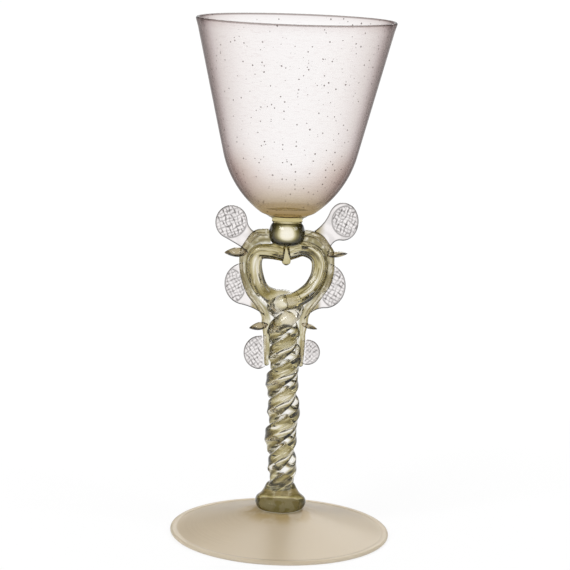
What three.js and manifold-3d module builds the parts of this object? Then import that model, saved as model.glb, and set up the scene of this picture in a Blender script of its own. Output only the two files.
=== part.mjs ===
// Winged goblet of blown and hot-worked glass, in millimetres, +Z up.
// The foot's resting ring lies on z = 0 and its axis is the z axis. The picture side faces -y.
import * as THREE from 'three';
import { mergeVertices } from 'three/addons/utils/BufferGeometryUtils.js';
import Module from 'manifold-3d';

const wasm = await Module();
wasm.setup();

// Driving dimensions: millimetres, and degrees where a name says so.
const joinGap = 0.3; // seam left between neighbouring pieces of glass

// Foot: a shallow cone with a folded rim.
const footRadius = 36;
const footRise = 8.4; // height of the seat under the base knop
const footSeatRadius = 7.4;
const footGlass = 1.8; // thickness of the cone
const footRimHeight = 1.4;
const footFoldWidth = 3.4; // how far the fold reaches in from the edge
const restingRingWidth = 2.4;

// Base knop: a flattened bead that flares up into the stem.
const baseKnopRadius = 8.4;
const baseKnopHeight = 8.2;
const baseKnopBelly = 2.2; // height of its widest ring above its underside
const baseKnopNeckRadius = 5.3;
const strandSocket = 1.6; // how deep the twisted strands sink into it

// Stem: two ribbed strands, twisted together, then parted into a heart.
const stemLean = -0.75; // sideways lean of the stem at the neck, towards -x
const strandRadius = 2.7; // in the heart
const ropeRadius = 5.45; // over both strands at the top of the twist
const ropeFootRadius = 4.75; // over both strands where they leave the base knop
const strandUnevenness = 0.35; // the left strand is this much fuller, the right this much leaner
const ropeCoreRadius = 2.5; // from the stem's axis to the middle of a strand
const ropeSpread = 1; // the strands draw apart by this much under the heart
const ropeTurns = 3.31;
const ropeLay = 20.1; // rise of the first turn; each turn is tighter by twice the next value
const layTightening = 0.55;
const grooveSharpness = 4; // higher leaves a narrower groove between the strands
const heartHalfWidth = 10.6; // from the stem's axis to the middle of a strand
const heartHeight = 18.3; // from the top of the twist to the middle of the heart's top bar
const crossingDepth = 4.15; // how far the strands pass in front of and behind the axis
const ribCount = 8;
const ribDepth = 0.22;
const ribTwistTurns = 0.6;
const strandStep = 1.8; // spacing of the rings along a strand

// Drop of glass pressed down into the cusp of the heart.
const dropRadius = 1.45;
const dropLength = 7.2;

// Top knop, collar and bowl.
const topKnopRadius = 5.95;
const topKnopHeight = 7.3;
const topKnopFootRadius = 4.1;
const neckRadius = 4.9;
const knopSaddle = 0.75; // how deep the knop is pressed down over the strands
const collarHeight = 2.1;
const collarRadius = 6.8;
const bowlDepth = 62.5; // from the bowl's seat to the rim
const rimRadius = 31.95;
const bowlWall = 1.2;
const bowlBase = 2.5; // thickness of the glass at the bottom
const bowlConeHeight = 43; // the straight flare under the rim
const bowlFlareDegrees = 13.65; // half angle of the flare
const bowlSeatRadius = 7;
const bowlSeatFlare = 1.8; // the lip spreads this much from the seat to the curve of the bowl
const rimOffset = 0.15; // the bowl leans back from the stem's lean, to this x at the rim

// Wing trails: a rod of clear glass laid down each side.
const trailRootRadius = 2.3; // beside the knop
const trailRadius = 1.3;
const trailTipRadius = 0.85;
const trailSink = 0.6; // how far a trail sinks into the strand it is laid on
const trailEndDepth = 19.6; // how far below the heart the trails end
const trailStartRise = 2.9; // height above the knop's underside at which a trail leaves the knop

// Winglets: pincered discs of clear glass, and small pinched tags between them.
const discRadius = 6; // a middling disc; each one's own half width and half height are shares of it
const discThickness = 1.4;
const discBevel = 0.35;
const tagLength = 7; // a middling tag; each one's own length, width and thickness are shares
const tagWidth = 4;
const tagThickness = 2.8;

const sidesOfSmallPieces = 28;
const sidesOfFoot = 48;
const sidesOfBowl = 44;

// Heights up the goblet, each standing on the piece below it.
const baseKnopZ = footRise + joinGap;
const baseKnopTopZ = baseKnopZ + baseKnopHeight;
const strandZ = baseKnopTopZ - strandSocket;
const heartZ = ropeHeight(ropeTurns);
const barZ = heartZ + heartHeight;
const topKnopZ = barZ + strandRadius + joinGap - knopSaddle;
const collarZ = topKnopZ + topKnopHeight + joinGap;
const bowlZ = collarZ + collarHeight + joinGap;

const stemGlass = { color: 0x8a7a35, roughness: 0.06, metalness: 0 };
const bowlGlass = { color: 0xe4dadd, roughness: 0.05, metalness: 0 };
const wingGlass = { color: 0xe6dcdf, roughness: 0.1, metalness: 0 };
const footGlassLook = { color: 0xcdbea5, roughness: 0.08, metalness: 0 };

// Height of the twist after a number of turns.
function ropeHeight(turns) {
  return strandZ + ropeLay * turns - layTightening * turns * turns;
}

// The stem's axis leans in a straight line from the base knop to the neck.
function stemAxisX(z) {
  return (stemLean * (z - baseKnopZ)) / (collarZ - baseKnopZ);
}

// Welds a geometry's shared vertices and drops the triangles that have no area.
function weld(geometry) {
  const bare = new THREE.BufferGeometry();
  bare.setAttribute('position', geometry.getAttribute('position').clone());
  const source = geometry.index ? geometry.index.array : null;
  if (source) {
    bare.setIndex(Array.from(source));
  }
  const merged = mergeVertices(bare, 1e-4);
  const corners = merged.index.array;
  const kept = [];
  for (let i = 0; i < corners.length; i += 3) {
    const [a, b, c] = [corners[i], corners[i + 1], corners[i + 2]];
    if (a !== b && b !== c && c !== a) {
      kept.push(a, b, c);
    }
  }
  merged.setIndex(kept);
  return merged;
}

function toSolid(geometry) {
  const welded = weld(geometry);
  const mesh = new wasm.Mesh({
    numProp: 3,
    vertProperties: new Float32Array(welded.getAttribute('position').array),
    triVerts: new Uint32Array(welded.index.array),
  });
  return new wasm.Manifold(mesh);
}

function toGeometry(solid) {
  const mesh = solid.getMesh();
  const geometry = new THREE.BufferGeometry();
  geometry.setAttribute('position', new THREE.BufferAttribute(new Float32Array(mesh.vertProperties), 3));
  geometry.setIndex(Array.from(mesh.triVerts));
  return geometry;
}

// Cuts the neighbours, grown by the seam, out of a piece, and keeps its main body.
function seatAgainst(geometry, grownNeighbours) {
  let solid = toSolid(geometry);
  for (const neighbour of grownNeighbours) {
    solid = solid.subtract(toSolid(neighbour));
  }
  const bodies = solid.decompose();
  const main = bodies.reduce((best, body) => (body.volume() > best.volume() ? body : best));
  return toGeometry(main.simplify(0.01));
}

// A skin over rings of points that run anticlockwise about the direction of travel.
function loft(rings) {
  const sides = rings[0].length;
  const points = rings.flat();
  const index = [];
  for (let i = 0; i < rings.length - 1; i += 1) {
    for (let k = 0; k < sides; k += 1) {
      const a = i * sides + k;
      const b = i * sides + ((k + 1) % sides);
      index.push(a, b, a + sides, b, b + sides, a + sides);
    }
  }
  const capStart = points.length;
  points.push(centreOf(rings[0]), centreOf(rings[rings.length - 1]));
  const last = (rings.length - 1) * sides;
  for (let k = 0; k < sides; k += 1) {
    const next = (k + 1) % sides;
    index.push(capStart, next, k);
    index.push(capStart + 1, last + k, last + next);
  }
  const geometry = new THREE.BufferGeometry();
  geometry.setFromPoints(points);
  geometry.setIndex(index);
  return geometry;
}

function centreOf(ring) {
  const sum = ring.reduce((total, point) => total.add(point), new THREE.Vector3());
  return sum.divideScalar(ring.length);
}

// A solid of revolution from its profile of [radius, height] points, bottom to top.
function revolve(profile, sides, x) {
  const points = profile.map(([radius, height]) => new THREE.Vector2(radius, height));
  const geometry = new THREE.LatheGeometry(points, sides);
  geometry.rotateX(Math.PI / 2);
  geometry.translate(x, 0, 0);
  return geometry;
}

// Points along an arc in a profile, from one angle to another, both included.
function arc(centreR, centreZ, radius, fromDegrees, toDegrees, steps) {
  const points = [];
  for (let i = 0; i <= steps; i += 1) {
    const angle = THREE.MathUtils.degToRad(fromDegrees + ((toDegrees - fromDegrees) * i) / steps);
    points.push([centreR + radius * Math.cos(angle), centreZ + radius * Math.sin(angle)]);
  }
  return points;
}

function footGeometry() {
  const rimRound = footRimHeight / 2;
  const foldInner = footRadius - footFoldWidth;
  const ringInner = footRadius - rimRound - restingRingWidth;
  const slope = (footRise - footRimHeight) / (foldInner - footSeatRadius);
  const hollowZ = footRise - footGlass;
  const profile = [
    [0, hollowZ],
    [footSeatRadius, hollowZ - 0.3],
    [ringInner - 1.2, footRimHeight - footGlass + slope * 1.2 + 0.55],
    [ringInner, 0],
    ...arc(footRadius - rimRound, rimRound, rimRound, -90, 90, 4),
    [foldInner + 0.5, footRimHeight],
    [foldInner, footRimHeight - 0.15],
    [(foldInner + footSeatRadius) / 2, footRimHeight + 0.48 * (footRise - footRimHeight)],
    [footSeatRadius + 3, footRise - 0.9],
    [footSeatRadius, footRise],
    [0, footRise],
  ];
  return revolve(profile, sidesOfFoot, 0);
}

function baseKnopGeometry() {
  const bellyZ = baseKnopZ + baseKnopBelly;
  const profile = [
    [0, baseKnopZ],
    [footSeatRadius - 0.5, baseKnopZ],
    [baseKnopRadius - 0.35, baseKnopZ + 0.8],
    [baseKnopRadius, bellyZ],
    [baseKnopRadius - 0.3, bellyZ + 1],
    [baseKnopRadius - 1.3, bellyZ + 1.9],
    [baseKnopNeckRadius + 0.85, bellyZ + 2.8],
    [baseKnopNeckRadius, bellyZ + 4.3],
    [baseKnopNeckRadius - 0.1, baseKnopTopZ - 0.3],
    [baseKnopNeckRadius - 0.5, baseKnopTopZ],
    [0, baseKnopTopZ],
  ];
  return revolve(profile, sidesOfSmallPieces, 0);
}

// Way points of a strand: middle, facing angle and how far its section has turned from a half
// round, as in the twist, to a round, as in the heart. `side` is -1 for the left, 1 for the right.
function strandWayPoints(side) {
  const way = [];
  const steps = Math.round(ropeTurns * 10);
  const topFacing = side > 0 ? 180 : 0;
  for (let i = 0; i <= steps; i += 1) {
    const turns = (ropeTurns * i) / steps;
    const facing = topFacing - 360 * (ropeTurns - turns);
    const angle = THREE.MathUtils.degToRad(facing);
    const z = ropeHeight(turns);
    const spread = THREE.MathUtils.smoothstep(turns, ropeTurns - 0.6, ropeTurns);
    const reach = ropeCoreRadius + ropeSpread * spread;
    const middle = new THREE.Vector3(stemAxisX(z) + reach * Math.cos(angle), reach * Math.sin(angle), z);
    way.push({ middle, facing, round: 0.9 * spread });
  }
  const depth = -side * crossingDepth;
  const armFacing = topFacing + 90;
  for (const [across, deep, up] of side > 0 ? rightArm : leftArm) {
    const z = heartZ + heartHeight * up;
    const x = stemAxisX(z) + side * heartHalfWidth * across;
    way.push({ middle: new THREE.Vector3(x, depth * deep, z), facing: armFacing, round: 1 });
  }
  return way;
}

// The arms of the heart, each as [across, depth, up], in shares of the heart's half width, of
// the depth of the crossing and of the heart's height. The right arm crosses in front.
const rightArm = [
  [-0.05, 1.17, 0.132],
  [0.25, 1.08, 0.17],
  [0.54, 0.72, 0.25],
  [0.79, 0.2, 0.36],
  [0.96, 0, 0.52],
  [1.03, 0, 0.68],
  [1.02, 0, 0.85],
  [0.9, 0, 0.975],
  [0.68, 0, 1.05],
  [0.45, 0, 1.07],
  [0.22, 0, 1.02],
  [0.055, 0, 0.985],
];
const leftArm = [
  [-0.02, 1.26, 0.11],
  [0.33, 1.28, 0.125],
  [0.6, 0.95, 0.2],
  [0.8, 0.3, 0.345],
  [0.93, 0, 0.55],
  [0.99, 0, 0.75],
  [0.96, 0, 0.88],
  [0.85, 0, 0.98],
  [0.68, 0, 1.0],
  [0.45, 0, 1.0],
  [0.22, 0, 0.985],
  [0.055, 0, 0.97],
];

// Distance from a strand's middle to its skin in the twist, where each strand is a half round.
function halfRoundReach(phi, outerRadius, middleRadius, clearance) {
  const outward = Math.cos(phi);
  const across = middleRadius * Math.sin(phi);
  const toRound = Math.sqrt(outerRadius * outerRadius - across * across) - middleRadius * outward;
  if (outward >= 0) {
    return toRound;
  }
  const toSplit = (middleRadius - clearance) / -outward;
  return (toRound ** -grooveSharpness + toSplit ** -grooveSharpness) ** (-1 / grooveSharpness);
}

function strandGeometry(side, grow) {
  const way = strandWayPoints(side);
  const curve = new THREE.CatmullRomCurve3(way.map((point) => point.middle), false, 'centripetal');
  curve.arcLengthDivisions = 600;
  const rings = [];
  const steps = Math.round(curve.getLength() / strandStep);
  const heartStart = 1 - (Math.PI * heartHalfWidth * 1.2) / curve.getLength();
  const sectionSides = ribCount * 2;
  for (let i = 0; i <= steps; i += 1) {
    const u = i / steps;
    const place = curve.getUtoTmapping(u) * (way.length - 1);
    const low = Math.min(Math.floor(place), way.length - 2);
    const facing = THREE.MathUtils.lerp(way[low].facing, way[low + 1].facing, place - low);
    const round = THREE.MathUtils.lerp(way[low].round, way[low + 1].round, place - low);
    const middle = curve.getPointAt(u);
    const ahead = i === 0 ? new THREE.Vector3(0, 0, 1) : curve.getTangentAt(u);
    const angle = THREE.MathUtils.degToRad(facing);
    const outward = new THREE.Vector3(Math.cos(angle), Math.sin(angle), 0);
    const around = new THREE.Vector3(-Math.sin(angle), Math.cos(angle), 0);
    const face = outward.clone().addScaledVector(ahead, -outward.dot(ahead)).normalize();
    const edge = ahead.clone().cross(face);
    const fromAxis = Math.hypot(middle.x - stemAxisX(middle.z), middle.y);
    const climb = THREE.MathUtils.smoothstep(middle.z, strandZ + 0.2 * ropeLay, strandZ + ropeLay);
    const outerRadius = THREE.MathUtils.lerp(ropeFootRadius, ropeRadius, climb) - side * strandUnevenness;
    const core = Math.min(fromAxis, outerRadius - 1);
    const ring = [];
    for (let k = 0; k < sectionSides; k += 1) {
      const phi = 2 * Math.PI * (k / sectionSides + ribTwistTurns * Math.max(0, u - heartStart));
      const rib = k % 2 === 0 || grow > 0 ? 0 : ribDepth * round;
      const inTwist = halfRoundReach(phi, outerRadius, core, joinGap / 2) - rib + grow;
      const inHeart = strandRadius - rib + grow;
      const flat = outward.clone().multiplyScalar(inTwist * Math.cos(phi));
      flat.addScaledVector(around, inTwist * Math.sin(phi));
      const square = face.clone().multiplyScalar(inHeart * Math.cos(phi));
      square.addScaledVector(edge, inHeart * Math.sin(phi));
      ring.push(middle.clone().add(flat.lerp(square, round)));
    }
    rings.push(ring);
  }
  return { geometry: loft(rings), curve };
}

function cuspDropGeometry(grow) {
  const top = topKnopZ + knopSaddle - joinGap + grow;
  const bottom = top - dropLength - 2 * grow;
  const radius = dropRadius + grow;
  const profile = [
    [0, bottom],
    [radius * 0.55, bottom + 0.25],
    [radius * 0.9, bottom + 0.85],
    [radius, bottom + 1.7],
    [radius * 0.95, bottom + 3.2],
    [radius * 1.1, top - 1.4],
    [radius * 1.25, top - 0.2],
    [radius * 1.15, top],
    [0, top],
  ];
  return revolve(profile, 12, stemAxisX(bottom));
}

function topKnopGeometry(grow) {
  const bottom = topKnopZ - grow;
  const top = topKnopZ + topKnopHeight + grow;
  const middle = bottom + (top - bottom) * 0.47;
  const profile = [
    [0, bottom],
    [topKnopFootRadius + grow, bottom],
    [topKnopRadius - 0.75 + grow, bottom + 1.1],
    [topKnopRadius - 0.15 + grow, middle - 1.1],
    [topKnopRadius + grow, middle],
    [topKnopRadius - 0.15 + grow, middle + 1.1],
    [topKnopRadius - 0.6 + grow, top - 1.4],
    [neckRadius + 0.1 + grow, top - 0.25],
    [neckRadius - 0.2 + grow, top],
    [0, top],
  ];
  return revolve(profile, sidesOfSmallPieces, stemAxisX(middle));
}

function collarGeometry() {
  const top = collarZ + collarHeight;
  const spread = collarRadius - neckRadius;
  const profile = [
    [0, collarZ],
    [neckRadius - 0.1, collarZ],
    [neckRadius + 0.1, collarZ + 0.35],
    [neckRadius, collarZ + collarHeight * 0.35],
    [neckRadius + spread * 0.3, collarZ + collarHeight * 0.65],
    [neckRadius + spread * 0.75, top - 0.25],
    [collarRadius, top],
    [0, top],
  ];
  return revolve(profile, sidesOfSmallPieces, stemAxisX(collarZ));
}

// The bowl's outside: a straight flare that runs into an arc, down to its seat on the collar.
function bowlGeometry() {
  const rimZ = bowlZ + bowlDepth;
  const flare = THREE.MathUtils.degToRad(bowlFlareDegrees);
  const turnZ = rimZ - bowlConeHeight;
  const turnRadius = rimRadius - bowlConeHeight * Math.tan(flare);
  const lipZ = bowlZ + bowlSeatFlare * 0.36;
  const lipRadius = bowlSeatRadius + bowlSeatFlare;
  const drop = turnZ - lipZ;
  const run = turnRadius - lipRadius;
  const chord = Math.hypot(run, drop);
  const sweepHalf = Math.atan2(run, drop) - flare;
  const sweepRadius = chord / (2 * Math.sin(sweepHalf));
  const centreR = turnRadius - sweepRadius * Math.cos(flare);
  const centreZ = turnZ + sweepRadius * Math.sin(flare);
  const seatDegrees = THREE.MathUtils.radToDeg(Math.atan2(lipZ - centreZ, lipRadius - centreR));
  const turnDegrees = -bowlFlareDegrees;
  const innerFloorZ = bowlZ + bowlBase;
  const innerSweep = sweepRadius - bowlWall;
  const inner = arc(centreR, centreZ, innerSweep, turnDegrees, seatDegrees, 7);
  const insideWall = inner.filter(([radius, z]) => z > innerFloorZ + 0.6 && radius > 3);
  const profile = [
    [0, bowlZ],
    [bowlSeatRadius, bowlZ],
    ...arc(centreR, centreZ, sweepRadius, seatDegrees, turnDegrees, 8),
    [(turnRadius + rimRadius) / 2, (turnZ + rimZ) / 2],
    [rimRadius, rimZ - bowlWall / 2],
    [rimRadius - bowlWall * 0.15, rimZ - bowlWall * 0.15],
    [rimRadius - bowlWall / 2, rimZ],
    [rimRadius - bowlWall * 0.85, rimZ - bowlWall * 0.15],
    [rimRadius - bowlWall, rimZ - bowlWall / 2],
    [(turnRadius + rimRadius) / 2 - bowlWall, (turnZ + rimZ) / 2],
    ...insideWall,
    [insideWall[insideWall.length - 1][0] * 0.6, innerFloorZ + 0.15],
    [0, innerFloorZ],
  ];
  const geometry = revolve(profile, sidesOfBowl, 0);
  const seatX = stemAxisX(bowlZ);
  const lean = new THREE.Matrix4().makeShear(0, 0, 0, 0, (rimOffset - seatX) / bowlDepth, 0);
  geometry.translate(0, 0, -bowlZ);
  geometry.applyMatrix4(lean);
  geometry.translate(seatX, 0, bowlZ);
  return geometry;
}

// Way points of a trail: off the knop, over the heart's shoulder, down the outside of the arm
// and down the side of the twist.
function trailCurve(side, armCurve) {
  const way = [];
  const startZ = topKnopZ + trailStartRise;
  const knopX = stemAxisX(startZ);
  const shoulderZ = barZ + strandRadius + trailRootRadius - trailSink;
  way.push(new THREE.Vector3(knopX + side * (topKnopRadius - 0.4), 0, startZ));
  way.push(new THREE.Vector3(knopX + side * heartHalfWidth * 0.9, 0, shoulderZ));
  const offset = strandRadius + trailRadius - trailSink;
  for (const rise of [0.9, 0.72, 0.52, 0.36]) {
    const onArm = outerArmPoint(armCurve, side, heartZ + heartHeight * rise);
    way.push(onArm.point.addScaledVector(onArm.outward, offset));
  }
  const onRope = ropeRadius + trailRadius - trailSink;
  for (const [depth, stray] of [[0.1, 0.6], [0.4, -0.25], [0.7, -0.4], [1, -0.65]]) {
    const z = heartZ - trailEndDepth * depth;
    way.push(new THREE.Vector3(stemAxisX(z) + side * (onRope + stray), 0, z));
  }
  return new THREE.CatmullRomCurve3(way, false, 'centripetal');
}

// The point of an arm's middle line at a height, on its outer stretch, and the way out from it.
function outerArmPoint(armCurve, side, z) {
  const samples = 400;
  let best = null;
  for (let i = 0; i <= samples; i += 1) {
    const point = armCurve.getPoint(i / samples);
    const isArm = point.z > heartZ && side * (point.x - stemAxisX(point.z)) > heartHalfWidth * 0.4;
    const miss = Math.abs(point.z - z);
    if (isArm && (best === null || miss < best.miss)) {
      best = { miss, t: i / samples, point };
    }
  }
  const ahead = armCurve.getTangent(best.t);
  const outward = new THREE.Vector3(side * Math.abs(ahead.z), 0, -side * ahead.x).normalize();
  return { point: new THREE.Vector3(best.point.x, 0, best.point.z), outward };
}

function trailGeometry(curve, grow) {
  const steps = 26;
  const sectionSides = 8;
  const rings = [];
  for (let i = 0; i <= steps; i += 1) {
    const u = i / steps;
    const middle = curve.getPointAt(u);
    const ahead = curve.getTangentAt(u);
    const across = new THREE.Vector3(0, 1, 0).cross(ahead).normalize();
    const slim = THREE.MathUtils.smoothstep(u, 0.08, 0.3);
    const tip = THREE.MathUtils.smoothstep(u, 0.6, 1);
    const body = THREE.MathUtils.lerp(trailRootRadius, trailRadius, slim);
    const taper = THREE.MathUtils.lerp(body, trailTipRadius, tip);
    const ring = [];
    for (let k = 0; k < sectionSides; k += 1) {
      const phi = (2 * Math.PI * k) / sectionSides;
      const point = middle.clone().addScaledVector(across, (taper + grow) * Math.cos(phi));
      ring.push(point.addScaledVector(new THREE.Vector3(0, 1, 0), (taper + grow) * Math.sin(phi)));
    }
    rings.push(ring);
  }
  return loft(rings);
}

// The x of a trail at a height, on its stretch below the shoulder.
function trailPointAt(curve, z) {
  const samples = 400;
  let best = null;
  for (let i = 0; i <= samples; i += 1) {
    const point = curve.getPoint(i / samples);
    if (best === null || Math.abs(point.z - z) < Math.abs(best.z - z)) {
      best = point;
    }
  }
  return best;
}

// A pincered disc: round, with a neck that widens to its root along the trail.
function discGeometry(trail, disc) {
  const { side, centre, radii, leave, roots, turn } = disc;
  const middle = new THREE.Vector2(side * heartHalfWidth * centre[0], wingZ(centre[1]));
  const rootTop = trailPointAt(trail, wingZ(roots[0]));
  const rootLow = trailPointAt(trail, wingZ(roots[1]));
  const leaveAngles = leave.map((degrees) => THREE.MathUtils.degToRad(side > 0 ? degrees : 180 - degrees));
  const [topAngle, lowAngle] = leaveAngles;
  const [wide, tall] = radii.map((share) => share * discRadius);
  const offTop = new THREE.Vector2(wide * Math.cos(topAngle), tall * Math.sin(topAngle)).add(middle);
  const offLow = new THREE.Vector2(wide * Math.cos(lowAngle), tall * Math.sin(lowAngle)).add(middle);
  const pinchTop = new THREE.Vector2(-side * Math.sin(topAngle), side * Math.cos(topAngle));
  const pinchLow = new THREE.Vector2(side * Math.sin(lowAngle), -side * Math.cos(lowAngle));
  const topBend = offTop.clone().addScaledVector(pinchTop, 0.5 * offTop.distanceTo(rootOf(rootTop)));
  const lowBend = offLow.clone().addScaledVector(pinchLow, 0.5 * offLow.distanceTo(rootOf(rootLow)));
  const outline = new THREE.Path();
  outline.moveTo(rootTop.x, rootTop.z);
  outline.quadraticCurveTo(topBend.x, topBend.y, offTop.x, offTop.y);
  outline.absellipse(middle.x, middle.y, wide, tall, topAngle, lowAngle, side > 0);
  outline.quadraticCurveTo(lowBend.x, lowBend.y, rootLow.x, rootLow.z);
  outline.lineTo(rootLow.x - side * trailRadius, rootLow.z + discBevel);
  outline.lineTo(rootTop.x - side * trailRadius, rootTop.z - discBevel);
  const points = outline.getPoints(10);
  const apart = points.filter((point, i) => i === 0 || point.distanceTo(points[i - 1]) > discBevel / 4);
  const shape = new THREE.Shape(apart);
  const thickness = discThickness - 2 * discBevel;
  const geometry = new THREE.ExtrudeGeometry(shape, {
    depth: thickness,
    bevelEnabled: true,
    bevelThickness: discBevel,
    bevelSize: discBevel,
    bevelOffset: -discBevel,
    bevelSegments: 1,
  });
  geometry.translate(0, 0, -thickness / 2);
  geometry.rotateX(Math.PI / 2);
  const hingeX = (rootTop.x + rootLow.x) / 2;
  geometry.translate(-hingeX, 0, 0);
  geometry.rotateZ(THREE.MathUtils.degToRad(turn));
  geometry.translate(hingeX, 0, 0);
  return geometry;
}

function rootOf(point) {
  return new THREE.Vector2(point.x, point.z);
}

// A height on a wing, from a share: over the twist of the heart's height, under it of the depth
// to which the trails run down.
function wingZ(share) {
  return heartZ + share * (share > 0 ? heartHeight : trailEndDepth);
}

// A small tag pinched flat across the wing, rooted in the trail and lying nearly level.
function tagGeometry(trail, tag) {
  const root = trailPointAt(trail, wingZ(tag.root));
  const [length, width, thickness] = [tag.long * tagLength, tag.wide * tagWidth, tag.thick * tagThickness];
  const geometry = new THREE.SphereGeometry(1, 14, 8);
  geometry.scale(length / 2, width / 2, thickness / 2);
  geometry.translate(tag.side * (length / 2 - trailTipRadius * 0.7), 0, 0);
  geometry.rotateY(THREE.MathUtils.degToRad(-tag.side * tag.rise));
  geometry.translate(root.x, 0, root.z);
  return geometry;
}

// Discs: centre, as shares of the heart's half width out from the foot's axis and of the wing up,
// half width and half height, the angles at which the neck leaves the disc, the heights of its
// root on the trail, and its turn in degrees about its root. The left ones are mirrored.
const discs = [
  {
    name: 'left_top_disc',
    side: -1,
    centre: [1.765, 1.503],
    radii: [0.865, 0.92],
    leave: [174, -62],
    roots: [1.335, 1],
    turn: 5,
  },
  {
    name: 'left_middle_disc',
    side: -1,
    centre: [1.32, 0.395],
    radii: [1.083, 1.15],
    leave: [77, -81],
    roots: [0.787, -0.153],
    turn: -6,
  },
  {
    name: 'left_low_disc',
    side: -1,
    centre: [0.778, -0.775],
    radii: [0.883, 0.933],
    leave: [80, -80],
    roots: [-0.49, -0.985],
    turn: 4,
  },
  {
    name: 'right_top_disc',
    side: 1,
    centre: [1.63, 1.576],
    radii: [0.83, 1.035],
    leave: [158, -95],
    roots: [1.33, 0.985],
    turn: -6,
  },
  {
    name: 'right_middle_disc',
    side: 1,
    centre: [1.17, 0.405],
    radii: [1.09, 1.225],
    leave: [72, -90],
    roots: [0.82, -0.2],
    turn: 5,
  },
  {
    name: 'right_low_disc',
    side: 1,
    centre: [0.678, -0.745],
    radii: [0.695, 0.71],
    leave: [80, -80],
    roots: [-0.56, -0.93],
    turn: -4,
  },
];

// Tags: height of the root on the wing, size in shares of a middling tag, and rise in degrees.
const tags = [
  { name: 'left_upper_tag', side: -1, root: 0.973, long: 1.06, wide: 1.2, thick: 1.25, rise: -4 },
  { name: 'left_lower_tag', side: -1, root: -0.306, long: 0.88, wide: 1, thick: 1.02, rise: -13 },
  { name: 'right_upper_tag', side: 1, root: 0.967, long: 0.95, wide: 0.9, thick: 0.78, rise: 6 },
  { name: 'right_lower_tag', side: 1, root: -0.276, long: 0.77, wide: 0.75, thick: 0.66, rise: -18 },
];

const goblet = new THREE.Group();

function addPiece(name, geometry, look) {
  const mesh = new THREE.Mesh(geometry, new THREE.MeshStandardMaterial({ ...look, flatShading: true }));
  mesh.name = name;
  goblet.add(mesh);
}

const left = strandGeometry(-1, 0);
const right = strandGeometry(1, 0);
const grownLeft = strandGeometry(-1, joinGap).geometry;
const grownRight = strandGeometry(1, joinGap).geometry;
const grownDrop = cuspDropGeometry(joinGap);
const grownKnop = topKnopGeometry(joinGap);
const trails = {
  '-1': trailCurve(-1, left.curve),
  1: trailCurve(1, right.curve),
};

addPiece('foot', footGeometry(), footGlassLook);
addPiece('base_knop', seatAgainst(baseKnopGeometry(), [grownLeft, grownRight]), stemGlass);
addPiece('left_strand', seatAgainst(left.geometry, [grownDrop]), stemGlass);
addPiece('right_strand', seatAgainst(right.geometry, [grownDrop]), stemGlass);
addPiece('cusp_drop', cuspDropGeometry(0), stemGlass);
addPiece('top_knop', seatAgainst(topKnopGeometry(0), [grownLeft, grownRight, grownDrop]), stemGlass);
addPiece('bowl_collar', collarGeometry(), stemGlass);
addPiece('bowl', bowlGeometry(), bowlGlass);

for (const [side, name] of [[-1, 'left_wing_trail'], [1, 'right_wing_trail']]) {
  const neighbours = [grownLeft, grownRight, grownKnop];
  addPiece(name, seatAgainst(trailGeometry(trails[side], 0), neighbours), wingGlass);
}
for (const disc of discs) {
  const neighbours = [trailGeometry(trails[disc.side], joinGap), grownLeft, grownRight, grownKnop];
  addPiece(disc.name, seatAgainst(discGeometry(trails[disc.side], disc), neighbours), wingGlass);
}
for (const tag of tags) {
  const neighbours = [trailGeometry(trails[tag.side], joinGap), grownLeft, grownRight];
  addPiece(tag.name, seatAgainst(tagGeometry(trails[tag.side], tag), neighbours), wingGlass);
}

export default goblet;
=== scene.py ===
import math

import bpy
from mathutils import Matrix, Vector, noise
from mathutils.geometry import delaunay_2d_cdt


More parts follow.
